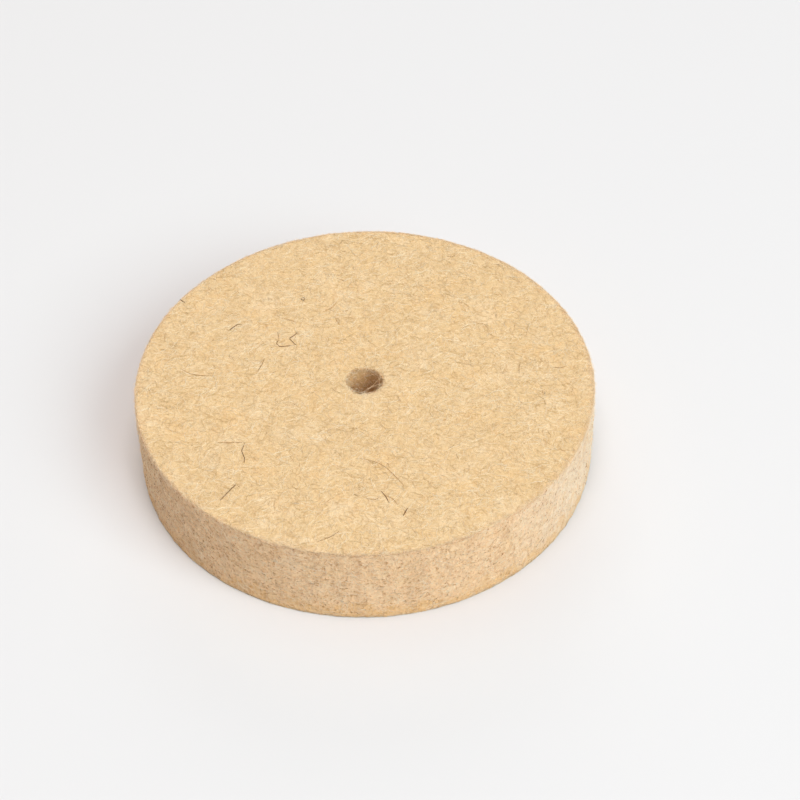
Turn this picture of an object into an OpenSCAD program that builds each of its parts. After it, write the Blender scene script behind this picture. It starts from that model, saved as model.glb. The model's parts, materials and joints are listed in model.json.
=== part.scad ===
// Felt polishing wheel: one thick disc of coarse pressed wool felt with a plain hole through its
// middle for a machine spindle. It is cut whole from a felt plate, so it has no bush, no flange
// and no plies. The wheel lies flat: +Z runs along the hole, and the origin is the middle of the
// hole on the lower face.

/* [Wheel] */
// Diameter over the rim
wheel_d = 125; // [60:1:200]
// Thickness between the two faces
wheel_t = 25; // [8:0.5:40]

/* [Spindle hole] */
// Diameter of the hole
bore_d = 10; // [5:0.5:20]

/* [Edges] */
// Radius of the two corners between the faces and the rim
rim_corner_r = 0.3; // [0.2:0.1:3]
// Radius of the two corners at the mouths of the hole
mouth_corner_r = 0.3; // [0.2:0.1:3]

/* [Hidden] */
$fn = 96;
wheel_r = wheel_d / 2;
bore_r = bore_d / 2;

// Half of a cut through the felt beside the hole's axis, with x as the radius and y as the height.
module felt_section() {
    // the full-height middle, between the two pairs of rounded corners
    translate([bore_r + mouth_corner_r, 0])
        square([wheel_r - rim_corner_r - bore_r - mouth_corner_r, wheel_t]);
    // the wall of the hole
    translate([bore_r, mouth_corner_r])
        square([mouth_corner_r, wheel_t - 2 * mouth_corner_r]);
    // the rim
    translate([wheel_r - rim_corner_r, rim_corner_r])
        square([rim_corner_r, wheel_t - 2 * rim_corner_r]);
    // the rounded corners
    for (y = [mouth_corner_r, wheel_t - mouth_corner_r])
        translate([bore_r + mouth_corner_r, y])
            circle(r = mouth_corner_r);
    for (y = [rim_corner_r, wheel_t - rim_corner_r])
        translate([wheel_r - rim_corner_r, y])
            circle(r = rim_corner_r);
}

// The wheel: the felt's section turned about the hole's axis.
module felt_disc() {
    color([0.84, 0.60, 0.34])
        rotate_extrude()
            felt_section();
}

felt_disc();
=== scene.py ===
# Felt polishing wheel: the looks of one thick disc of coarse pressed wool, lying flat.
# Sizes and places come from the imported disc; lengths are in metres.
import json
import math

import bpy
import numpy as np
from mathutils import Euler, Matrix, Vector


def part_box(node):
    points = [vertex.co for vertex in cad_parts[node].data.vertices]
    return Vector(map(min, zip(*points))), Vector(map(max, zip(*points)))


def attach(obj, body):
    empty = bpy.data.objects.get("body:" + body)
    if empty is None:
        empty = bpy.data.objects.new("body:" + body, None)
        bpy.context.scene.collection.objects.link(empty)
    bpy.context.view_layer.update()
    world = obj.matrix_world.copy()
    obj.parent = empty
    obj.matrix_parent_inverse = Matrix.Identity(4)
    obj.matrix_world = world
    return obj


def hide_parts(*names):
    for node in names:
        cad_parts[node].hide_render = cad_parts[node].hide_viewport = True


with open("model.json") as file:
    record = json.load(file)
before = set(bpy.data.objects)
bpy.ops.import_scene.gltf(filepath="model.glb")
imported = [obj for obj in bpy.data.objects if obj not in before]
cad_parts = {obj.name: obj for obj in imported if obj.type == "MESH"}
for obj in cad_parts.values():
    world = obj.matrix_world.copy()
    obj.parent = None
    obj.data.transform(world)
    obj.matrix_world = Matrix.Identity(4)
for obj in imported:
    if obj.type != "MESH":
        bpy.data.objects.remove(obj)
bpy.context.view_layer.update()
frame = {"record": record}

# ---- The felt disc ---------------------------------------------------------------------------
# The wheel is one disc of coarse wool, wetted, pressed and matted into a thick plate. It is cut out
# round and its hole is punched straight through, so the faces are the plate's own skin, and the rim
# and the hole show the cut wool. Nothing else is fixed to it.
mm = 0.001
disc_low, disc_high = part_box("felt_disc")
thickness = disc_high[2] - disc_low[2]
wheel_radius = (disc_high[0] - disc_low[0]) / 2
hole = next(m for m in frame["record"]["mounts"] if m["name"] == "spindle_bore")
hole_radius = hole["dims"]["r_mm"] * mm
mouth_round = (thickness - hole["dims"]["length_mm"] * mm) / 2  # the softened mouth of the hole
rim_round = 0.3 * mm  # the softened edge between a face and the rim
rim_start = wheel_radius - rim_round  # where a face begins to turn down
mouth_start = hole_radius + mouth_round  # where a face begins to turn into the hole
rim_reach = rim_start + rim_round * math.pi / 2 + thickness / 2 - rim_round  # half-way down the rim
hole_reach = mouth_start - mouth_round * math.pi / 2 - thickness / 2 + mouth_round


def on_felt(angle, reach, face):
    """Points on the disc's nominal skin, and the directions straight out of it.

    reach runs out from the axis along a face. Past the face's edge it goes on round the edge and
    down the rim, and before the hole's mouth it goes down the hole. face is 1 on top, -1 below.
    """
    past_edge = reach - rim_start
    past_mouth = mouth_start - reach
    edge_turn = np.clip(past_edge / rim_round, 0, math.pi / 2)
    mouth_turn = np.clip(past_mouth / mouth_round, 0, math.pi / 2)
    radius = np.clip(reach, mouth_start, rim_start)
    radius = radius + rim_round * np.sin(edge_turn) - mouth_round * np.sin(mouth_turn)
    drop = rim_round * (1 - np.cos(edge_turn)) + mouth_round * (1 - np.cos(mouth_turn))
    drop = drop + np.maximum(past_edge - rim_round * math.pi / 2, 0)
    drop = drop + np.maximum(past_mouth - mouth_round * math.pi / 2, 0)
    height = thickness / 2 + face * (thickness / 2 - drop)
    sideways = np.sin(edge_turn) - np.sin(mouth_turn)
    upward = face * np.cos(edge_turn + mouth_turn)
    east, north = np.cos(angle), np.sin(angle)
    points = np.broadcast_arrays(radius * east, radius * north, height)
    outward = np.broadcast_arrays(sideways * east, sideways * north, upward)
    return np.stack(points, -1), np.stack(outward, -1)


def ripple(points, wavelength, seed, waves=18):
    """Smooth seeded bumps about one wavelength apart, mostly between -1 and 1."""
    draw = np.random.default_rng(seed)
    across = draw.normal(size=(3, waves))
    lengths = wavelength * draw.uniform(0.7, 1.5, waves)
    across *= 2 * math.pi / (lengths * np.linalg.norm(across, axis=0))
    return np.cos(points @ across + draw.uniform(0, 2 * math.pi, waves)).sum(-1) / math.sqrt(waves)


def hollow(points, outward):
    """How far the real wool lies under the nominal skin: it sinks, and never stands proud of it."""
    face_part = outward[..., 2] ** 2
    side_part = 1 - face_part
    edge_part = 4 * face_part * side_part
    in_hole = np.hypot(points[..., 0], points[..., 1]) < 2 * hole_radius
    layered = points * (1, 1, 3)
    face = 0.10 + 0.05 * ripple(points, 11 * mm, 1) + 0.02 * ripple(points, 2.8 * mm, 2)
    rim = 0.18 + 0.10 * ripple(points, 34 * mm, 3) + 0.06 * ripple(points, 4 * mm, 4)
    rim = rim + 0.05 * ripple(layered, 4.5 * mm, 5)
    wall = 0.06 + 0.10 * ripple(points, 4 * mm, 6) + 0.06 * ripple(points, 1.6 * mm, 7)
    edge = 0.24 + 0.13 * ripple(points, 3.4 * mm, 8)
    depth = face_part * face + side_part * np.where(in_hole, wall, rim) + edge_part * edge
    return np.clip(depth, 0, None) * mm


def felt_skin(angle, reach, face):
    """Points on the real, uneven skin of the wool, and the directions straight out of it."""
    points, outward = on_felt(angle, reach, face)
    return points - outward * hollow(points, outward)[..., None], outward


def steps(start, stop, size):
    """Even steps of about the given size from start up to stop, which is left out."""
    return np.linspace(start, stop, max(round(abs(stop - start) / size), 1), endpoint=False)


def new_mesh(name, points, quads, triangles=()):
    """A mesh object from its points, its four-sided faces and its three-sided faces."""
    quads = np.asarray(quads, np.int32).reshape(-1, 4)
    triangles = np.asarray(triangles, np.int32).reshape(-1, 3)
    corners = np.concatenate([quads.ravel(), triangles.ravel()])
    starts = np.concatenate(
        [np.arange(len(quads)) * 4, quads.size + np.arange(len(triangles)) * 3]
    )
    mesh = bpy.data.meshes.new(name)
    mesh.vertices.add(len(points))
    mesh.vertices.foreach_set("co", np.asarray(points, np.float32).ravel())
    mesh.loops.add(len(corners))
    mesh.loops.foreach_set("vertex_index", corners)
    mesh.polygons.add(len(starts))
    mesh.polygons.foreach_set("loop_start", starts)
    mesh.update(calc_edges=True)
    mesh.polygons.foreach_set("use_smooth", np.ones(len(starts), bool))
    piece = bpy.data.objects.new(name, mesh)
    bpy.context.scene.collection.objects.link(piece)
    return piece


segments = 432
row_size = 0.8 * mm
edge_rows = 3
corner_out = rim_start + rim_round * math.pi / 2
corner_in = mouth_start - mouth_round * math.pi / 2
half_section = np.concatenate(
    [
        steps(hole_reach, corner_in, row_size),
        steps(corner_in, mouth_start, (mouth_start - corner_in) / edge_rows),
        steps(mouth_start, rim_start, row_size),
        steps(rim_start, corner_out, (corner_out - rim_start) / edge_rows),
        steps(corner_out, rim_reach, row_size),
        [rim_reach],
    ]
)
# the upper half outwards from the hole to the rim, then the lower half back to the hole
reaches = np.concatenate([half_section, half_section[-2:0:-1]])
faces = np.concatenate([np.ones(len(half_section)), -np.ones(len(half_section) - 2)])
turns = np.arange(segments) * 2 * math.pi / segments
skin, _ = felt_skin(turns[None, :], reaches[:, None], faces[:, None])
row = np.arange(len(reaches))[:, None] * segments
next_row = np.roll(row, -1, axis=0)
column = np.arange(segments)[None, :]
next_column = np.roll(column, -1, axis=1)
squares = np.stack([row + column, next_row + column, next_row + next_column, row + next_column], -1)
felt = new_mesh("felt_body", skin.reshape(-1, 3), squares)


def connect(tree, value, socket):
    """Sets an input to a plain value, or links another node's output to it."""
    if isinstance(value, bpy.types.NodeSocket):
        tree.links.new(value, socket)
    else:
        socket.default_value = value


def maths(tree, operation, *values, clamp=False):
    node = tree.nodes.new("ShaderNodeMath")
    node.operation = operation
    node.use_clamp = clamp
    for socket, value in zip(node.inputs, values):
        connect(tree, value, socket)
    return node.outputs[0]


def vector_maths(tree, operation, *values):
    node = tree.nodes.new("ShaderNodeVectorMath")
    node.operation = operation
    for socket, value in zip(node.inputs, values):
        connect(tree, value, socket)
    return node.outputs[0]


def noise(tree, place, size, detail=2.0, seed=0.0, roughness=0.5):
    """Cloudy noise with lumps of about the given size; the node's Fac and Color are its outputs."""
    node = tree.nodes.new("ShaderNodeTexNoise")
    node.noise_dimensions = "4D"
    connect(tree, place, node.inputs["Vector"])
    node.inputs["W"].default_value = seed
    if isinstance(size, bpy.types.NodeSocket):
        tree.links.new(maths(tree, "DIVIDE", 1.0, size), node.inputs["Scale"])
    else:
        node.inputs["Scale"].default_value = 1 / size
    node.inputs["Detail"].default_value = detail
    node.inputs["Roughness"].default_value = roughness
    return node.outputs


def remap(tree, value, low, high, to_low=0.0, to_high=1.0):
    """Eases a value from one range to another, held at both ends."""
    node = tree.nodes.new("ShaderNodeMapRange")
    node.interpolation_type = "SMOOTHSTEP"
    for name, limit in (
        ("Value", value),
        ("From Min", low),
        ("From Max", high),
        ("To Min", to_low),
        ("To Max", to_high),
    ):
        connect(tree, limit, node.inputs[name])
    return node.outputs["Result"]


def mix_colours(tree, factor, first, second, blend="MIX"):
    node = tree.nodes.new("ShaderNodeMix")
    node.data_type = "RGBA"
    node.blend_type = blend
    connect(tree, factor, node.inputs["Factor"])
    for socket, colour in (
        (next(s for s in node.inputs if s.name == "A" and s.type == "RGBA"), first),
        (next(s for s in node.inputs if s.name == "B" and s.type == "RGBA"), second),
    ):
        connect(tree, colour, socket)
    return next(s for s in node.outputs if s.type == "RGBA")


def new_group(name, inputs, outputs):
    """A shader node group with named inputs and outputs, and its two end nodes."""
    group = bpy.data.node_groups.new(name, "ShaderNodeTree")
    for label, kind, value in inputs:
        socket = group.interface.new_socket(label, in_out="INPUT", socket_type=kind)
        if value is not None:
            socket.default_value = value
    for label, kind in outputs:
        group.interface.new_socket(label, in_out="OUTPUT", socket_type=kind)
    given = group.nodes.new("NodeGroupInput").outputs
    made = group.nodes.new("NodeGroupOutput").inputs
    return group, given, made


def use_group(tree, group, **values):
    """Places a node group in a material; an underscore in a value's name stands for a space."""
    node = tree.nodes.new("ShaderNodeGroup")
    node.node_tree = group
    for name, value in values.items():
        connect(tree, value, node.inputs[name.replace("_", " ")])
    return node.outputs


FLOAT, VECTOR = "NodeSocketFloat", "NodeSocketVector"

# Matted wool: fine hairs that curl over each other, with small hollows between them.
matted_wool, given, made = new_group(
    "matted wool",
    [("Place", VECTOR, None), ("Curl Size", FLOAT, 0.0012), ("Hairs per Curl", FLOAT, 4.5)],
    [("Hairs", FLOAT), ("Hollows", FLOAT), ("Height", FLOAT)],
)
bend = noise(matted_wool, given["Place"], given["Curl Size"], 1.0, 3.1)["Color"]
bend = vector_maths(matted_wool, "SUBTRACT", bend, (0.5, 0.5, 0.5))
bend_node = matted_wool.nodes.new("ShaderNodeVectorMath")
bend_node.operation = "SCALE"
connect(matted_wool, bend, bend_node.inputs[0])
bend_size = maths(matted_wool, "MULTIPLY", given["Curl Size"], 1.4)
connect(matted_wool, bend_size, bend_node.inputs["Scale"])
bent_place = vector_maths(matted_wool, "ADD", given["Place"], bend_node.outputs[0])
layers = []
for seed, size_share in ((11.3, 1.0), (27.9, 1.5), (41.7, 0.7)):
    layer_size = maths(matted_wool, "MULTIPLY", given["Curl Size"], size_share)
    level = noise(matted_wool, bent_place, layer_size, 0.0, seed)["Fac"]
    level = maths(matted_wool, "MULTIPLY", level, given["Hairs per Curl"])
    level = maths(matted_wool, "PINGPONG", level, 0.5)
    layers.append(remap(matted_wool, level, 0.30, 0.48))
hairs = maths(matted_wool, "ADD", maths(matted_wool, "ADD", layers[0], layers[1]), layers[2])
hairs = maths(matted_wool, "DIVIDE", hairs, 3.0)
hollow_size = maths(matted_wool, "MULTIPLY", given["Curl Size"], 0.38)
hollows = noise(matted_wool, bent_place, hollow_size, 1.0, 5.9)["Fac"]
hollows = remap(matted_wool, hollows, 0.53, 0.36)
connect(matted_wool, hairs, made["Hairs"])
connect(matted_wool, hollows, made["Hollows"])
connect(matted_wool, maths(matted_wool, "SUBTRACT", hairs, hollows), made["Height"])

# Wool tones: the fleece is never one colour, so golden, pale and greyer locks lie side by side.
wool_tones, given, made = new_group(
    "wool tones",
    [("Place", VECTOR, None), ("Lock Size", FLOAT, 0.007)],
    [("Golden", FLOAT), ("Pale", FLOAT), ("Grey", FLOAT)],
)
for label, seed, low, high in (
    ("Golden", 2.2, 0.50, 0.68),
    ("Pale", 8.4, 0.50, 0.70),
    ("Grey", 15.6, 0.56, 0.74),
):
    lock = noise(wool_tones, given["Place"], given["Lock Size"], 3.0, seed, 0.62)["Fac"]
    connect(wool_tones, remap(wool_tones, lock, low, high), made[label])

# Kemp flecks: short, coarse dark hairs, of which only a bit shows where they come to the surface.
kemp_flecks, given, made = new_group(
    "kemp flecks",
    [("Place", VECTOR, None), ("Spacing", FLOAT, 0.0022), ("Share", FLOAT, 0.15)],
    [("Fleck", FLOAT)],
)
cells = kemp_flecks.nodes.new("ShaderNodeTexVoronoi")
connect(kemp_flecks, given["Place"], cells.inputs["Vector"])
connect(kemp_flecks, maths(kemp_flecks, "DIVIDE", 1.0, given["Spacing"]), cells.inputs["Scale"])
chance = kemp_flecks.nodes.new("ShaderNodeSeparateColor")
connect(kemp_flecks, cells.outputs["Color"], chance.inputs[0])
fleck = remap(kemp_flecks, cells.outputs["Distance"], 0.20, 0.06)
shown = maths(kemp_flecks, "LESS_THAN", chance.outputs[0], given["Share"])
fleck = maths(kemp_flecks, "MULTIPLY", fleck, shown)
strength = remap(kemp_flecks, chance.outputs[1], 0.0, 1.0, 0.25, 1.0)
fleck = maths(kemp_flecks, "MULTIPLY", fleck, strength)
connect(kemp_flecks, fleck, made["Fleck"])

# Cut marks and painted light: faint upright scoring from the knife; painted shade in a darker band
# close under the upper edge; more golden, darker wool nearest the floor; and painted sheen that
# pales the rim on the side towards the front lamp.
cut_marks_and_light, given, made = new_group(
    "cut marks and painted light",
    [("Place", VECTOR, None)],
    [("Edge Shade", FLOAT), ("Scoring", FLOAT), ("Golden Low", FLOAT), ("Painted Sheen Side", FLOAT)],
)
scored = vector_maths(cut_marks_and_light, "MULTIPLY", given["Place"], (1.0, 1.0, 0.06))
bands = noise(cut_marks_and_light, scored, 3.2 * mm, 1.0, 12.7)["Fac"]
bands = remap(cut_marks_and_light, bands, 0.56, 0.72, 0.0, 0.24)
scores = noise(cut_marks_and_light, scored, 0.7 * mm, 1.0, 18.3)["Fac"]
scores = remap(cut_marks_and_light, scores, 0.54, 0.74, 0.0, 0.20)
measured = cut_marks_and_light.nodes.new("ShaderNodeSeparateXYZ")
connect(cut_marks_and_light, given["Place"], measured.inputs[0])
# painted shade: a darker band close under the upper edge, the edge's own shadow; it fades out where
# the painted sheen is
painted_edge_shade = noise(cut_marks_and_light, given["Place"], 1.5 * mm, 2.0, 23.1)["Fac"]
painted_edge_shade = remap(cut_marks_and_light, painted_edge_shade, 0.35, 0.65, 0.1, 0.6)
near_top = remap(cut_marks_and_light, measured.outputs["Z"], thickness - 1.3 * mm, thickness - 0.4 * mm)
waver = noise(cut_marks_and_light, given["Place"], 3.5 * mm, 4.0, 6.6, 0.65)["Fac"]
waver = maths(cut_marks_and_light, "MULTIPLY", maths(cut_marks_and_light, "SUBTRACT", waver, 0.5), 30 * mm)
# the wool turns more golden and darker towards the floor, in wavering patches
near_floor = maths(cut_marks_and_light, "ADD", measured.outputs["Z"], waver)
near_floor = remap(cut_marks_and_light, near_floor, 7 * mm, 1 * mm)
# painted sheen: the rim pales towards +X, where the front lamp lights it at a glancing angle
painted_sheen_side = maths(cut_marks_and_light, "ADD", measured.outputs["X"], waver)
painted_sheen_side = remap(cut_marks_and_light, painted_sheen_side, 30 * mm, 66 * mm)
painted_edge_shade = maths(cut_marks_and_light, "MULTIPLY", painted_edge_shade, maths(cut_marks_and_light, "SUBTRACT", 1.0, painted_sheen_side))
connect(cut_marks_and_light, maths(cut_marks_and_light, "MULTIPLY", near_top, painted_edge_shade), made["Edge Shade"])
connect(cut_marks_and_light, maths(cut_marks_and_light, "MAXIMUM", bands, scores), made["Scoring"])
connect(cut_marks_and_light, near_floor, made["Golden Low"])
connect(cut_marks_and_light, painted_sheen_side, made["Painted Sheen Side"])

golden_lock = (0.84, 0.56, 0.26, 1.0)
pale_lock = (0.92, 0.76, 0.54, 1.0)
grey_lock = (0.58, 0.46, 0.32, 1.0)
kemp_brown = (0.22, 0.13, 0.07, 1.0)
# the more golden, darker wool nearest the floor
golden_low_wool = (0.84, 0.52, 0.21, 1.0)
# painted sheen: the pale colour that the lit side of the rim takes
painted_sheen_wool = (1.0, 0.90, 0.755, 1.0)


def new_material(name, roughness, sheen, specular=0.2):
    """A wool material with its tree, its shader and the place on the wheel in metres."""
    material = bpy.data.materials.new(name)
    material.use_nodes = True
    tree = material.node_tree
    shader = tree.nodes["Principled BSDF"]
    shader.inputs["Roughness"].default_value = roughness
    shader.inputs["Specular IOR Level"].default_value = specular
    shader.inputs["Sheen Weight"].default_value = sheen
    shader.inputs["Sheen Roughness"].default_value = 0.4
    shader.inputs["Sheen Tint"].default_value = (1.0, 0.91, 0.80, 1.0)
    place = tree.nodes.new("ShaderNodeTexCoord").outputs["Object"]
    return material, tree, shader, place


def stretched(tree, place, factors):
    return vector_maths(tree, "MULTIPLY", place, factors)


def mark_cut_and_light(tree, place, colour, dark):
    """Adds the painted sheen, the knife's marks, the painted shade under the upper edge and the
    golden, darker wool nearest the floor to the colour of cut wool.
    """
    marks = use_group(tree, cut_marks_and_light, Place=place)
    # painted sheen on the side of the rim towards the front lamp
    painted_sheen = maths(tree, "MULTIPLY", marks["Painted Sheen Side"], 0.6)
    colour = mix_colours(tree, painted_sheen, colour, painted_sheen_wool)
    colour = mix_colours(tree, marks["Scoring"], colour, dark)
    # painted shade close under the upper edge
    colour = mix_colours(tree, marks["Edge Shade"], colour, dark)
    # more golden, darker wool towards the floor
    golden_low_share = maths(tree, "MULTIPLY", marks["Golden Low"], 0.6)
    return mix_colours(tree, golden_low_share, colour, golden_low_wool)


def felt_material(name, dark, middle, light, curl_size, layering, fleck_share, sheen, cut):
    """Pressed wool. layering squeezes the pattern up and down, as the batts lie in the plate.

    cut wool also shows the knife's marks, the painted sheen on one side, the painted shade under
    the upper edge and the golden, darker wool nearest the floor.
    """
    material, tree, shader, place = new_material(name, 0.9, sheen)
    laid = stretched(tree, place, (1.0, 1.0, layering))
    wool = use_group(tree, matted_wool, Place=laid, Curl_Size=curl_size)
    coarse = use_group(tree, matted_wool, Place=laid, Curl_Size=curl_size * 2.4, Hairs_per_Curl=8.0)
    tones = use_group(tree, wool_tones, Place=laid)
    long_east = stretched(tree, laid, (0.35, 1.0, 1.0))
    long_north = stretched(tree, laid, (1.0, 0.35, 1.0))
    flecks_east = use_group(tree, kemp_flecks, Place=long_east, Share=fleck_share)
    flecks_north = use_group(tree, kemp_flecks, Place=long_north, Share=fleck_share)
    # the hairs mix towards the light colour; the hollows between them towards the dark one, as
    # painted shade in the hollows
    colour = middle
    for mask, share, tint in (
        (wool["Hairs"], 0.5, light),
        (coarse["Hairs"], 0.15, light),
        (wool["Hollows"], 0.3, dark),
        (coarse["Hollows"], 0.05, dark),
        (tones["Golden"], 0.28, golden_lock),
        (tones["Pale"], 0.30, pale_lock),
        (tones["Grey"], 0.22, grey_lock),
    ):
        colour = mix_colours(tree, maths(tree, "MULTIPLY", mask, share), colour, tint)
    # cut wool takes the knife's marks, the painted sheen, the painted edge shade and the golden
    # lower wool
    if cut:
        colour = mark_cut_and_light(tree, place, colour, dark)
    fleck = maths(tree, "MAXIMUM", flecks_east["Fleck"], flecks_north["Fleck"])
    colour = mix_colours(tree, maths(tree, "MULTIPLY", fleck, 0.7), colour, kemp_brown)
    connect(tree, colour, shader.inputs["Base Color"])
    connect(tree, remap(tree, wool["Hollows"], 0.0, 1.0, 0.82, 0.97), shader.inputs["Roughness"])
    bump = tree.nodes.new("ShaderNodeBump")
    bump.inputs["Strength"].default_value = 0.5
    bump.inputs["Distance"].default_value = 0.12 * mm
    connect(tree, wool["Height"], bump.inputs["Height"])
    connect(tree, bump.outputs["Normal"], shader.inputs["Normal"])
    return material


face_wool = felt_material(
    "matted face wool",
    dark=(0.48, 0.315, 0.14, 1.0),
    middle=(0.73, 0.515, 0.27, 1.0),
    light=(0.89, 0.705, 0.44, 1.0),
    curl_size=1.4 * mm,
    layering=1.0,
    fleck_share=0.05,
    sheen=0.25,
    cut=False,
)
rim_wool = felt_material(
    "cut rim wool",
    dark=(0.54, 0.30, 0.14, 1.0),
    middle=(0.94, 0.63, 0.36, 1.0),
    light=(0.99, 0.80, 0.55, 1.0),
    curl_size=1.2 * mm,
    layering=1.3,
    fleck_share=0.10,
    sheen=0.5,
    cut=True,
)
hole_wool = felt_material(
    "cut hole wool",
    dark=(0.44, 0.24, 0.10, 1.0),
    middle=(0.82, 0.52, 0.24, 1.0),
    light=(0.95, 0.69, 0.38, 1.0),
    curl_size=1.1 * mm,
    layering=1.6,
    fleck_share=0.12,
    sheen=0.25,
    cut=False,
)
for material in (face_wool, rim_wool, hole_wool):
    felt.data.materials.append(material)
# the face's skin ends half-way round each softened edge, where the knife has cut it
face_slot, rim_slot, hole_slot = 0, 1, 2
middle_reach = (reaches + np.roll(reaches, -1)) / 2
row_slots = np.full(len(reaches), face_slot)
row_slots[middle_reach > rim_start + rim_round * math.pi / 4] = rim_slot
row_slots[middle_reach < mouth_start - mouth_round * math.pi / 4] = hole_slot
felt.data.polygons.foreach_set("material_index", np.repeat(row_slots, segments).astype(np.int32))
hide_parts("felt_disc")
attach(felt, "root")

# ---- The matted hairs ------------------------------------------------------------------------
# Single wool hairs stand out of the matted skin everywhere: short crimped ones close together,
# and longer, smoother, paler ones lying loose over them. Both ends are caught in the felt.
# in one piece, so that a piece is never too heavy to pass on whole
most_triangles = 190000  # the most triangles in one piece; more hairs go into further pieces
root_lift = -0.05 * mm  # how deep a caught end lies in the felt
any_way = math.pi  # hairs laid this far either side of straight along lie in every direction


def wander(draw, count, points, lengths, lie, bend, crimp, wave):
    """Crimped hairs laid out flat, each around its own middle: rows of points across and along.

    lengths are the shortest and the longest. lie is how far a hair turns away from lying straight
    along; bend is how sharply it turns along its length, in radians per metre; crimp is the angle
    by which it swings from side to side, once in every wave.
    """
    length = draw.uniform(*lengths, count)[:, None]
    along = np.linspace(-0.5, 0.5, points)[None, :] * length
    heading = draw.uniform(-lie, lie, count)[:, None]
    heading = heading + math.pi * draw.integers(0, 2, count)[:, None]
    heading = heading + draw.normal(0, bend, count)[:, None] * along
    swing = 2 * math.pi * along / (wave * draw.uniform(0.6, 1.6, count)[:, None])
    heading = heading + crimp * np.sin(swing + draw.uniform(0, 2 * math.pi, count)[:, None])
    step = (length / (points - 1))[..., None]
    path = np.cumsum(np.stack([np.cos(heading), np.sin(heading)], -1) * step, 1)
    return path - path.mean(1, keepdims=True)


def strands(name, centres, outward, radius, material):
    """Closed, tapered, three-sided strands along rows of points, which ride with the felt."""
    corner_turns = np.radians([90, 210, 330])
    count, points = centres.shape[:2]
    rings = points - 2
    along = np.gradient(centres, axis=1)
    along /= np.linalg.norm(along, axis=-1, keepdims=True) + 1e-12
    side = np.cross(along, outward)
    side /= np.linalg.norm(side, axis=-1, keepdims=True) + 1e-12
    above = np.cross(side, along)
    corners = [
        centres + radius[..., None] * (math.sin(turn) * above + math.cos(turn) * side)
        for turn in corner_turns
    ]
    ring_points = np.stack(corners, 2)[:, 1:-1].reshape(count, rings * 3, 3)
    all_points = np.concatenate([centres[:, :1], ring_points, centres[:, -1:]], 1)
    per_strand = rings * 3 + 2
    last = per_strand - 1
    quads = [
        (1 + 3 * ring + k, 1 + 3 * ring + (k + 1) % 3, 4 + 3 * ring + (k + 1) % 3, 4 + 3 * ring + k)
        for ring in range(rings - 1)
        for k in range(3)
    ]
    tips = [(0, 1 + (k + 1) % 3, 1 + k) for k in range(3)]
    tips += [(last, last - 3 + k, last - 3 + (k + 1) % 3) for k in range(3)]
    pieces = math.ceil(count * 6 * rings / most_triangles)
    for number, part in enumerate(np.array_split(np.arange(count), pieces)):
        starts = (np.arange(len(part)) * per_strand)[:, None, None]
        piece = new_mesh(
            f"{name}_{number + 1}",
            all_points[part].reshape(-1, 3),
            np.asarray(quads)[None] + starts,
            np.asarray(tips)[None] + starts,
        )
        piece.data.materials.append(material)
        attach(piece, "root")


def taper(points, tip=0.35):
    """A strand's thickness along its length, full in the middle and thin at both ends."""
    share = np.linspace(-1, 1, points)
    return tip + (1 - tip) * (1 - share**4)


def hair_material(
    name, shades, lock_tint, unevenness=0.2, roughness=0.75, sheen=0.3, specular=0.2, cut=False
):
    """Single hairs: each takes its own shade, and each is a little uneven along its length."""
    material, tree, shader, place = new_material(name, roughness, sheen, specular)
    own = tree.nodes.new("ShaderNodeNewGeometry").outputs["Random Per Island"]
    streak = noise(tree, place, 0.35 * mm, 2.0, 4.4)["Fac"]
    streak = maths(tree, "MULTIPLY", maths(tree, "SUBTRACT", streak, 0.5), unevenness)
    shade = maths(tree, "ADD", own, streak, clamp=True)
    ramp = tree.nodes.new("ShaderNodeValToRGB")
    connect(tree, shade, ramp.inputs["Fac"])
    ends = ramp.color_ramp.elements
    while len(ends) < len(shades):
        ends.new(0.5)
    for number, colour in enumerate(shades):
        ends[number].position = number / (len(shades) - 1)
        ends[number].color = colour
    tones = use_group(tree, wool_tones, Place=place)
    golden = maths(tree, "MULTIPLY", tones["Golden"], lock_tint)
    colour = mix_colours(tree, golden, ramp.outputs["Color"], golden_lock)
    # cut hairs take the knife's marks, the painted sheen, the painted edge shade and the golden
    # lower wool
    if cut:
        colour = mark_cut_and_light(tree, place, colour, shades[0])
    connect(tree, colour, shader.inputs["Base Color"])
    polish = remap(tree, shade, 0.0, 1.0, roughness + 0.1, roughness - 0.1)
    connect(tree, polish, shader.inputs["Roughness"])
    return material


crimped_wool = hair_material(
    "crimped wool hair",
    [
        (0.50, 0.335, 0.155, 1.0),
        (0.72, 0.52, 0.27, 1.0),
        (0.84, 0.63, 0.35, 1.0),
        (0.91, 0.725, 0.45, 1.0),
        (0.96, 0.84, 0.62, 1.0),
    ],
    lock_tint=0.25,
    unevenness=0.5,
)
laid_wool = hair_material(
    "laid wool hair",
    [
        (0.60, 0.41, 0.195, 1.0),
        (0.79, 0.58, 0.31, 1.0),
        (0.91, 0.71, 0.44, 1.0),
        (0.95, 0.80, 0.55, 1.0),
        (0.97, 0.87, 0.68, 1.0),
    ],
    lock_tint=0.12,
    sheen=0.1,
)


def scatter(draw, count, inner, outer):
    """Random places between two radii, evenly by area."""
    radius = np.sqrt(draw.uniform(inner**2, outer**2, count))
    angle = draw.uniform(0, 2 * math.pi, count)
    return np.stack([radius * np.cos(angle), radius * np.sin(angle)], -1)


def lay_on_face(path, face):
    """Takes hairs laid out flat on a face to the skin; past the edge they lie round it."""
    angle = np.arctan2(path[..., 1], path[..., 0])
    return felt_skin(angle, np.hypot(path[..., 0], path[..., 1]), face)


def arch(draw, count, points, highest):
    """How high hairs lie over the skin along their length, caught in it at both ends."""
    share = np.linspace(0, math.pi, points)[None, :]
    peak = draw.uniform(0, highest, count)[:, None]
    return root_lift + (peak - root_lift) * np.sin(share) ** 0.5


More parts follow.
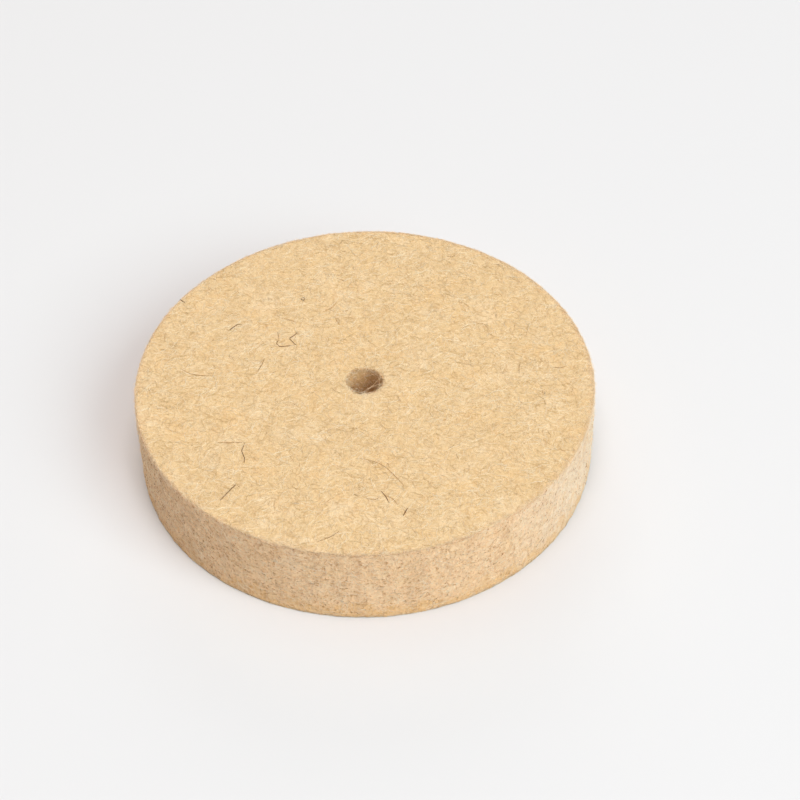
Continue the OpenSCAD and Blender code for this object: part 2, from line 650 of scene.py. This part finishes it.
def lie_on(name, draw, skin, radius, highest, material):
    """Strands along hairs that are already on the skin, each of its own thickness.

    highest is how far the middle of a hair may stand off the skin.
    """
    centres, outward = skin
    count, points = centres.shape[:2]
    centres = centres + outward * arch(draw, count, points, highest)[..., None]
    thick = draw.uniform(0.7, 1.3, count)[:, None] * radius * taper(points)[None, :]
    strands(name, centres, outward, thick, material)


crimped_per_area, long_per_area = 1.25e6, 1.1e6  # hairs in a square metre of a face
face_area = math.pi * (wheel_radius**2 - hole_radius**2)
lower_share = 0.6  # the lower face is pressed flatter, with fewer hairs standing out
for face, label, share in ((1, "upper", 1.0), (-1, "lower", lower_share)):
    draw = np.random.default_rng(seed=100 + face)
    count = round(crimped_per_area * face_area * share)
    lengths = (1.2 * mm, 3.6 * mm)
    path = wander(draw, count, 9, lengths, lie=any_way, bend=280, crimp=0.75, wave=1.3 * mm)
    path = path + scatter(draw, count, hole_radius, wheel_radius)[:, None]
    laid, name = lay_on_face(path, face), f"{label}_face_crimped_hairs"
    lie_on(name, draw, laid, radius=0.046 * mm, highest=0.07 * mm, material=crimped_wool)
    count = round(long_per_area * face_area * share)
    lengths = (2.0 * mm, 6.5 * mm)
    path = wander(draw, count, 11, lengths, lie=any_way, bend=190, crimp=0.4, wave=3.0 * mm)
    path = path + scatter(draw, count, hole_radius, wheel_radius)[:, None]
    laid, name = lay_on_face(path, face), f"{label}_face_long_hairs"
    lie_on(name, draw, laid, radius=0.050 * mm, highest=0.12 * mm, material=laid_wool)

# ---- The hairs of the cut rim and hole ---------------------------------------------------------
# The knife and the punch cut the hairs short, so the rim and the hole's wall show short lengths
# and ends that lie in every direction. A few longer, paler ones have come loose.
cut_wool = hair_material(
    "cut wool hair",
    [
        (0.50, 0.25, 0.11, 1.0),
        (0.88, 0.56, 0.29, 1.0),
        (0.98, 0.69, 0.39, 1.0),
        (0.99, 0.79, 0.52, 1.0),
        (0.99, 0.88, 0.70, 1.0),
    ],
    lock_tint=0.2,
    unevenness=1.5,
    cut=True,
)
brown_wool = hair_material(
    "brown wool hair",
    [
        (0.42, 0.20, 0.07, 1.0),
        (0.57, 0.30, 0.12, 1.0),
        (0.70, 0.42, 0.20, 1.0),
    ],
    lock_tint=0.0,
    sheen=0.0,
    specular=0.0,
)
pale_wool = hair_material(
    "pale wool hair",
    [
        (0.97, 0.69, 0.40, 1.0),
        (0.99, 0.75, 0.49, 1.0),
        (0.99, 0.80, 0.57, 1.0),
        (0.99, 0.85, 0.66, 1.0),
    ],
    lock_tint=0.12,
    sheen=0.1,
)


def lay_on_rim(path):
    """Takes hairs laid out along the rim and up from its middle to the skin, or over its edges."""
    side = np.where(path[..., 1] >= 0, 1, -1)
    return felt_skin(path[..., 0] / wheel_radius, rim_reach - np.abs(path[..., 1]), side)


def lay_in_hole(path):
    """The same for hairs laid out round the hole and up from its middle."""
    side = np.where(path[..., 1] >= 0, 1, -1)
    return felt_skin(path[..., 0] / hole_radius, hole_reach + np.abs(path[..., 1]), side)


def spread_round(draw, path, radius, lowest, highest):
    """Moves hairs to random places round a wall, between two shares of its height.

    Both shares are counted from half-way up, so -0.5 is the lower edge and 0.5 the upper one.
    """
    around = draw.uniform(0, 2 * math.pi * radius, len(path))
    up = draw.uniform(lowest, highest, len(path)) * thickness
    return path + np.stack([around, up], -1)[:, None]


rim_area = 2 * math.pi * wheel_radius * thickness
# hairs in a square metre of the rim
short_per_area, brown_per_area, loose_per_area = 3.2e6, 0.20e6, 0.40e6
draw = np.random.default_rng(seed=311)
count = round(short_per_area * rim_area)
lengths = (0.5 * mm, 1.8 * mm)
path = wander(draw, count, 6, lengths, lie=any_way, bend=350, crimp=0.6, wave=1.6 * mm)
laid = lay_on_rim(spread_round(draw, path, wheel_radius, lowest=-0.5, highest=0.5))
lie_on("rim_short_hairs", draw, laid, radius=0.058 * mm, highest=0.09 * mm, material=cut_wool)
count = round(brown_per_area * rim_area)
lengths = (0.4 * mm, 1.5 * mm)
path = wander(draw, count, 6, lengths, lie=any_way, bend=300, crimp=0.4, wave=1.6 * mm)
laid = lay_on_rim(spread_round(draw, path, wheel_radius, lowest=-0.49, highest=0.49))
lie_on("rim_brown_hairs", draw, laid, radius=0.062 * mm, highest=0.12 * mm, material=brown_wool)
count = round(loose_per_area * rim_area)
lengths = (2 * mm, 7 * mm)
path = wander(draw, count, 12, lengths, lie=any_way, bend=200, crimp=0.4, wave=3 * mm)
laid = lay_on_rim(spread_round(draw, path, wheel_radius, lowest=-0.46, highest=0.46))
lie_on("rim_long_hairs", draw, laid, radius=0.045 * mm, highest=0.16 * mm, material=pale_wool)

wall_area = 2 * math.pi * hole_radius * thickness
wall_per_area = 1.5e6
count = round(wall_per_area * wall_area)
lengths = (0.7 * mm, 2.4 * mm)
path = wander(draw, count, 8, lengths, lie=any_way, bend=400, crimp=0.7, wave=1.2 * mm)
laid = lay_in_hole(spread_round(draw, path, hole_radius, lowest=-0.5, highest=0.5))
lie_on("hole_wall_hairs", draw, laid, radius=0.060 * mm, highest=0.30 * mm, material=cut_wool)


def across_mouth(draw, start, swept, depth):
    """Hairs that cross a corner of the hole between two places on its wall, sagging a little."""
    count, points = len(start), 14
    share = np.linspace(0, 1, points)[None, :, None]
    start_depth, end_depth = draw.uniform(0, depth, (2, count))
    radius = hole_radius + 0.15 * mm
    ends = [
        np.stack([radius * np.cos(turn), radius * np.sin(turn), thickness - deep], -1)[:, None]
        for turn, deep in ((start, start_depth), (start + swept, end_depth))
    ]
    sway = draw.normal(0, 0.35 * mm, (count, 1, 3)) * np.sin(share * math.pi)
    curl = draw.normal(0, 0.20 * mm, (count, 1, 3)) * np.sin(share * 3 * math.pi)
    centres = ends[0] + (ends[1] - ends[0]) * share + sway + curl
    outward = np.broadcast_to((0.2, 0.1, 0.97), centres.shape)
    return centres, outward


# three long ones cross it near the front, and short ones lie anywhere round it, in radians
long_starts = np.array([-1.85, -1.65, -0.75])
long_sweeps = np.array([1.55, 1.95, 1.25])
short_ones = 8
mouth_hairs = [
    across_mouth(draw, long_starts, long_sweeps, depth=0.8 * mm),
    across_mouth(
        draw,
        start=draw.uniform(0, 2 * math.pi, short_ones),
        swept=draw.uniform(0.3, 0.9, short_ones),
        depth=2.0 * mm,
    ),
]
centres = np.concatenate([pair[0] for pair in mouth_hairs])
outward = np.concatenate([pair[1] for pair in mouth_hairs])
thick = draw.uniform(0.035, 0.06, len(centres))[:, None] * mm * taper(centres.shape[1])[None, :]
strands("hole_mouth_hairs", centres, outward, thick, pale_wool)

# short ends round the mouth, caught in the face and sagging a little over the hole
count, points = 170, 9
lengths = (0.8 * mm, 2.4 * mm)
path = wander(draw, count, points, lengths, lie=1.0, bend=300, crimp=0.5, wave=2 * mm)
turn = draw.uniform(0, 2 * math.pi, count)[:, None]
inward = path[..., 0] - draw.normal(0.1, 0.4, count)[:, None] * mm
radius = np.hypot(hole_radius - inward, path[..., 1])
turn = turn + np.arctan2(path[..., 1], hole_radius - inward)
past_edge = np.maximum(hole_radius - radius, 0)
sag = (0.12 + draw.uniform(0, 0.8, count)[:, None] * past_edge / mm) * mm
centres = np.stack([radius * np.cos(turn), radius * np.sin(turn), thickness - sag], -1)
outward = np.broadcast_to((0.0, 0.0, 1.0), centres.shape)
thick = draw.uniform(0.03, 0.055, count)[:, None] * mm * taper(points)[None, :]
strands("hole_mouth_ends", centres, outward, thick, laid_wool)

# ---- The loose fuzz --------------------------------------------------------------------------
# Fine hairs that handling has pulled half out of the felt: one end is caught, and the other
# stands clear of the rim and its edges, so the wheel's outline is never quite sharp.
def stand_off(draw, skin, rise):
    """Lifts hairs on the skin away from it towards their free end, each by its own height."""
    centres, outward = skin
    share = np.linspace(0, 1, centres.shape[1])[None, :, None]
    height = rise * draw.uniform(0.15, 1.0, len(centres))[:, None, None] ** 2
    return centres + outward * (root_lift + height * share**1.6), outward


def fuzz(name, draw, skin, rise, radius):
    """Strands along hairs that stand off the skin, thinning towards the free end."""
    centres, outward = stand_off(draw, skin, rise)
    count, points = centres.shape[:2]
    thin = np.linspace(1.0, 0.4, points)[None, :]
    thick = draw.uniform(0.7, 1.2, count)[:, None] * radius * thin
    strands(name, centres, outward, thick, pale_wool)


draw = np.random.default_rng(seed=907)
count, lengths = 8000, (1.0 * mm, 4.0 * mm)
path = wander(draw, count, 10, lengths, lie=any_way, bend=280, crimp=0.5, wave=2.5 * mm)
path = spread_round(draw, path, wheel_radius, lowest=-0.45, highest=0.5)
path[..., 1] = np.maximum(path[..., 1], -0.48 * thickness)  # none of it hangs down to the floor
fuzz("rim_fuzz", draw, lay_on_rim(path), rise=0.9 * mm, radius=0.032 * mm)
count, lengths = 7000, (0.8 * mm, 3.0 * mm)
path = wander(draw, count, 9, lengths, lie=any_way, bend=300, crimp=0.5, wave=2 * mm)
around = draw.uniform(0, 2 * math.pi * wheel_radius, count)
up = thickness / 2 + draw.normal(0.1, 0.4, count) * mm
path = path + np.stack([around, up], -1)[:, None]
fuzz("upper_edge_fuzz", draw, lay_on_rim(path), rise=0.9 * mm, radius=0.032 * mm)
count, lengths = 1500, (1.5 * mm, 5 * mm)
path = wander(draw, count, 12, lengths, lie=any_way, bend=260, crimp=0.5, wave=2.5 * mm)
path = path + scatter(draw, count, hole_radius, wheel_radius)[:, None]
fuzz("upper_face_fuzz", draw, lay_on_face(path, 1), rise=0.8 * mm, radius=0.028 * mm)

# ---- The dark kemp hairs -----------------------------------------------------------------------
# Coarse wool brings a few stiff, dark kemp hairs with it. They stay out of the matting, so they
# lie on the faces straight, kinked or in small loops, and show on the cut rim as short flecks.
kemp = hair_material(
    "dark kemp hair",
    [
        (0.14, 0.060, 0.020, 1.0),
        (0.20, 0.090, 0.035, 1.0),
        (0.30, 0.150, 0.060, 1.0),
    ],
    lock_tint=0.0,
    roughness=0.85,
    sheen=0.0,
    specular=0.0,
)
rust_kemp = hair_material(
    "rusty kemp hair",
    [
        (0.26, 0.11, 0.03, 1.0),
        (0.46, 0.23, 0.08, 1.0),
    ],
    lock_tint=0.0,
    roughness=0.85,
    sheen=0.0,
    specular=0.0,
)


def through(corners, points, rounding):
    """A hair through its corners, in millimetres on the face, with its kinks rounded a little."""
    corners = np.asarray(corners, float) * mm
    gone = np.concatenate([[0], np.cumsum(np.linalg.norm(np.diff(corners, axis=0), axis=1))])
    share = np.linspace(0, gone[-1], points)
    path = np.stack([np.interp(share, gone, corners[:, k]) for k in (0, 1)], -1)
    for _ in range(rounding):
        path[1:-1] = (path[:-2] + 2 * path[1:-1] + path[2:]) / 4
    return path


# the hairs that stand out most on the upper face, by their corners
kinked_hairs = [
    [(-32.1, -21.7), (-33, -24.8), (-32.1, -27.7), (-32.2, -29.3)],
    [(-23.4, 17.5), (-24.1, 15.8), (-23.1, 14.4), (-18.9, 14.8)],
    [(-18.3, 14.4), (-20.5, 17.5), (-19.2, 18.9), (-18, 20.1)],
    [(-16.8, 34.5), (-16.1, 34), (-16.5, 33), (-17.1, 33.4), (-17.2, 34.3)],
    [(-37.6, 21.4), (-36.5, 22.6), (-34.9, 24.1), (-33.8, 24)],
]
thick_hairs = [
    [(-38.4, -42.4), (-35.7, -38.7), (-34.1, -36.7)],
    [(3.2, -40.8), (4.4, -42.7), (5.2, -45.1)],
    [(9.9, -46.9), (9.3, -48.1), (8.6, -49.6)],
    [(-51.8, 35.4), (-50, 33.6)],
]
thin_hairs = [
    [(-39.5, -21.5), (-35.8, -21.8), (-32, -21.7)],
    [(-23.8, 20.7), (-23.4, 17.5)],
    [(-22.6, 26), (-20.6, 25.3), (-18.4, 24)],
    [(-11.2, 28), (-9.1, 29.1), (-7.6, 30.7), (-7.2, 32.3)],
    [(-7.6, 26.1), (-7.4, 24.4), (-6.8, 23), (-6.2, 22.1)],
    [(-7.2, 42.1), (-4.6, 40.7)],
    [(4.2, -42.5), (5.5, -43.1), (6.5, -44.1), (7.4, -45.9)],
    [(-4, -41.6), (-3.2, -42), (-2.5, -42.5)],
    [(-0.7, -43.3), (0.8, -43.7), (2.1, -43.6), (2.8, -42.9)],
    [(-50.4, 7.2), (-47.6, 4.8), (-43.7, 3.8), (-41, 4)],
    [(-29.3, 4.6), (-28, 7.7), (-27.2, 10.1)],
    [(42.1, 0.4), (42.2, 2.7), (42.7, 4.7)],
    [(51.5, 2.7), (53.4, 2.2), (55.1, 2.9)],
    [(25, 50), (26.4, 49.5), (27.7, 50.8)],
    [(39.2, 45.8), (40.9, 44.9)],
    [(-13.7, -57.5), (-9.8, -55.8), (-7.2, -53.5)],
    [(-3.2, -28.9), (1.1, -29.8), (4.3, -31.7), (7, -35.6), (9.5, -39.6)],
]
drawn_points = 28
lift = 0.09 * mm * np.sin(np.linspace(0, math.pi, drawn_points)) ** 0.3
for name, drawn, rounding, radius, material in (
    ("kinked_kemp_hairs", kinked_hairs, 1, 0.12, kemp),
    ("thick_kemp_hairs", thick_hairs, 12, 0.14, kemp),
    ("thin_kemp_hairs", thin_hairs, 12, 0.075, rust_kemp),
):
    path = np.stack([through(corners, drawn_points, rounding) for corners in drawn])
    centres, outward = lay_on_face(path, 1)
    centres = centres + outward * lift[None, :, None]
    thick = np.broadcast_to(radius * mm * taper(drawn_points, 0.3)[None, :], path.shape[:2])
    strands(name, centres, outward, thick, material)

draw = np.random.default_rng(seed=57)
for face, label, count in ((1, "upper", 150), (-1, "lower", 170)):
    lengths, margin = (0.8 * mm, 3.5 * mm), 1 * mm
    path = wander(draw, count, 12, lengths, lie=any_way, bend=300, crimp=0.4, wave=2 * mm)
    path = path + scatter(draw, count, hole_radius + margin, wheel_radius - margin)[:, None]
    laid, name = lay_on_face(path, face), f"{label}_face_kemp_bits"
    lie_on(name, draw, laid, radius=0.05 * mm, highest=0.05 * mm, material=rust_kemp)
count, lengths, margin = 30, (4 * mm, 10 * mm), 5 * mm
path = wander(draw, count, 20, lengths, lie=any_way, bend=200, crimp=0.5, wave=4 * mm)
path = path + scatter(draw, count, hole_radius + margin, wheel_radius - margin)[:, None]
laid = lay_on_face(path, -1)
lie_on("lower_face_kemp_hairs", draw, laid, radius=0.075 * mm, highest=0.1 * mm, material=kemp)
count, lengths = 300, (0.4 * mm, 2.0 * mm)
path = wander(draw, count, 8, lengths, lie=0.35, bend=200, crimp=0.2, wave=2 * mm)
around = draw.uniform(0, 2 * math.pi * wheel_radius, count)
up = draw.triangular(-0.47, -0.2, 0.47, count) * thickness
path = path + np.stack([around, up], -1)[:, None]
laid = lay_on_rim(path)
lie_on("rim_kemp_flecks", draw, laid, radius=0.06 * mm, highest=0.06 * mm, material=rust_kemp)

# ---- The camera, floor and light ---------------------------------------------------------------
# The wheel lies on a plain pale table, under one large soft lamp overhead and another in front to
# the right. Weaker ones on the left and behind fill the other sides.
camera_distance = 0.56
camera_height_angle = math.radians(44.55)
camera_roll = math.radians(-0.985)
top_centre = np.array([0.0, 0.0, thickness])
to_camera = np.array([0.0, -math.cos(camera_height_angle), math.sin(camera_height_angle)])
picture_right = np.array([1.0, 0.0, 0.0])
picture_up = np.cross(to_camera, picture_right)
aim_right, aim_down = 9.42 * mm, 5.68 * mm  # the aim lies this far from the middle of the top
aim = top_centre + aim_right * picture_right - aim_down * picture_up
camera_data = bpy.data.cameras.new("camera")
camera_data.lens = 92.7
camera_data.sensor_width = 36.0
camera_data.clip_start = 0.01
camera = bpy.data.objects.new("camera", camera_data)
bpy.context.scene.collection.objects.link(camera)
camera.location = top_centre + camera_distance * to_camera
look = Vector(aim) - camera.location
camera.rotation_mode = "QUATERNION"
roll = Euler((0, 0, camera_roll)).to_quaternion()
camera.rotation_quaternion = look.to_track_quat("-Z", "Y") @ roll
bpy.context.scene.camera = camera

floor_mesh = bpy.data.meshes.new("floor")
far = 3  # how far the table runs each way
floor_corners = [(-far, -far, 0), (far, -far, 0), (far, far, 0), (-far, far, 0)]
floor_mesh.from_pydata(floor_corners, [], [(0, 1, 2, 3)])
floor = bpy.data.objects.new("floor", floor_mesh)
bpy.context.scene.collection.objects.link(floor)
floor_paint = bpy.data.materials.new("pale floor")
floor_paint.use_nodes = True
floor_shader = floor_paint.node_tree.nodes["Principled BSDF"]
floor_shader.inputs["Base Color"].default_value = (0.735, 0.735, 0.735, 1.0)
floor_shader.inputs["Roughness"].default_value = 0.8
floor_shader.inputs["Specular IOR Level"].default_value = 0.1
floor_mesh.materials.append(floor_paint)

for lamp_name, place, size, power, tint in (
    ("overhead lamp", (0.0, -0.52, 2.95), 1.5, 38.5, (1.08, 0.96, 0.98)),
    ("front lamp", (1.62, -1.62, 1.93), 2.0, 64.0, (0.91, 1.03, 1.06)),
    ("left lamp", (-2.30, 0.0, 1.93), 2.0, 4.5, (1.1, 1.0, 0.8)),
    ("back lamp", (-0.96, 1.15, 2.60), 2.0, 11.0, (1.02, 1.02, 0.88)),
    ("low back lamp", (0.0, 2.82, 1.03), 1.6, 17.0, (1.04, 1.0, 1.0)),
):
    lamp_data = bpy.data.lights.new(lamp_name, "AREA")
    lamp_data.shape = "SQUARE"
    lamp_data.size = size
    lamp_data.energy = power
    lamp_data.color = tint
    lamp = bpy.data.objects.new(lamp_name, lamp_data)
    bpy.context.scene.collection.objects.link(lamp)
    lamp.location = place
    lamp.rotation_mode = "QUATERNION"
    lamp.rotation_quaternion = (-lamp.location).to_track_quat("-Z", "Y")

room = bpy.data.worlds.new("bright room")
room.use_nodes = True
walls = room.node_tree.nodes["Background"]
walls.inputs["Color"].default_value = (1.0, 1.0, 1.0, 1.0)
# the walls give only a little light, but look as pale as the table when they are seen
seen = room.node_tree.nodes.new("ShaderNodeLightPath").outputs["Is Camera Ray"]
wall_light, wall_paleness = 0.24, 0.6
seen_glow = maths(room.node_tree, "MULTIPLY", seen, wall_paleness)
glow = maths(room.node_tree, "ADD", seen_glow, wall_light)
connect(room.node_tree, glow, walls.inputs["Strength"])
bpy.context.scene.world = room
bpy.context.scene.view_settings.view_transform = "Standard"
